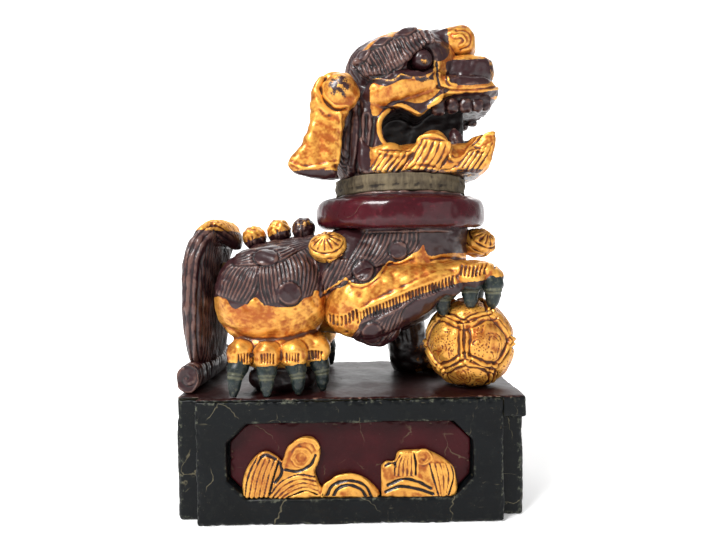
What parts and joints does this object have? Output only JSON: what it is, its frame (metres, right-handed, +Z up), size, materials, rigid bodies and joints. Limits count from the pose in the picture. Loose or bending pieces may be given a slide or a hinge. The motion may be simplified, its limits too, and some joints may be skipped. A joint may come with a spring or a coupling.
{
  "type": "guardian lion statue",
  "caption": "Carved, lacquered and gilt wooden guardian lion with one paw on a brocade ball, on an oblong plinth; the head lifts off and turns on a dowel.",
  "frame": {"origin": "middle of the plinth's underside, under the middle of the whole statue", "axes": "+X the way the lion faces, +Y towards the side away from the ball, +Z up"},
  "size_m": [0.245, 0.14, 0.3566],
  "materials": {
    "black_lacquer": "worn black lacquer over wood",
    "deck_lacquer": "dusty brown-red lacquer over wood",
    "red_lacquer": "oxblood lacquer over wood",
    "maroon_lacquer": "maroon lacquer worn pale on the carved ridges",
    "gilding": "gold leaf over lacquered wood, worn through in places",
    "claw_lacquer": "black-green lacquer",
    "bare_wood": "grey bare wood, rubbed",
    "dowel_wood": "plain turned wood"
  },
  "bodies": {
    "trunk": {"plinth_core": "black_lacquer", "plinth_top": "deck_lacquer", "front_board": "black_lacquer", "back_board": "black_lacquer", "recess_ground": "red_lacquer", "relief_bird": "gilding", "relief_wave": "gilding", "relief_beast": "gilding", "torso": "maroon_lacquer", "right_hind_leg": "gilding", "left_hind_leg": "gilding", "left_foreleg": "gilding", "right_foreleg": "gilding", "right_fore_paw": "gilding", "ball": "gilding", "ball_peg": "dowel_wood", "tail": "maroon_lacquer", "tail_scroll": "maroon_lacquer", "tail_peg": "dowel_wood", "spine_knob_1": "gilding", "spine_knob_2": "gilding", "spine_knob_3": "gilding", "right_shoulder_bell": "gilding", "left_shoulder_bell": "gilding", "chest_bell": "gilding", "collar_ring": "red_lacquer", "right_hind_claw_1": "claw_lacquer", "right_hind_claw_2": "claw_lacquer", "right_hind_claw_3": "claw_lacquer", "right_hind_claw_4": "claw_lacquer", "left_hind_claw_1": "claw_lacquer", "left_hind_claw_2": "claw_lacquer", "left_hind_claw_3": "claw_lacquer", "left_hind_claw_4": "claw_lacquer", "left_fore_claw_1": "claw_lacquer", "left_fore_claw_2": "claw_lacquer", "left_fore_claw_3": "claw_lacquer", "left_fore_claw_4": "claw_lacquer", "right_fore_claw_1": "claw_lacquer", "right_fore_claw_2": "claw_lacquer", "right_fore_claw_3": "claw_lacquer", "right_fore_claw_4": "claw_lacquer"},
    "dowel": {"neck_dowel": "dowel_wood"},
    "head": {"neck": "bare_wood", "skull": "maroon_lacquer", "upper_lip": "gilding", "nose": "gilding", "forehead_boss": "gilding", "upper_teeth": "maroon_lacquer", "lower_jaw": "gilding", "right_ear": "gilding", "right_eye": "maroon_lacquer", "right_cheek": "gilding", "right_fang": "maroon_lacquer", "left_ear": "gilding", "left_eye": "maroon_lacquer", "left_cheek": "gilding", "left_fang": "maroon_lacquer"}
  },
  "joints": [
    {"name": "head_lift", "type": "slide", "parent": "trunk", "child": "dowel", "axis": [0, 0, 1], "range_m": [0, 0.032]},
    {"name": "head_turn", "type": "hinge", "parent": "dowel", "child": "head", "pos_m": [0.041, 0, 0.2276], "axis": [0, 0, 1], "continuous": true}
  ]
}
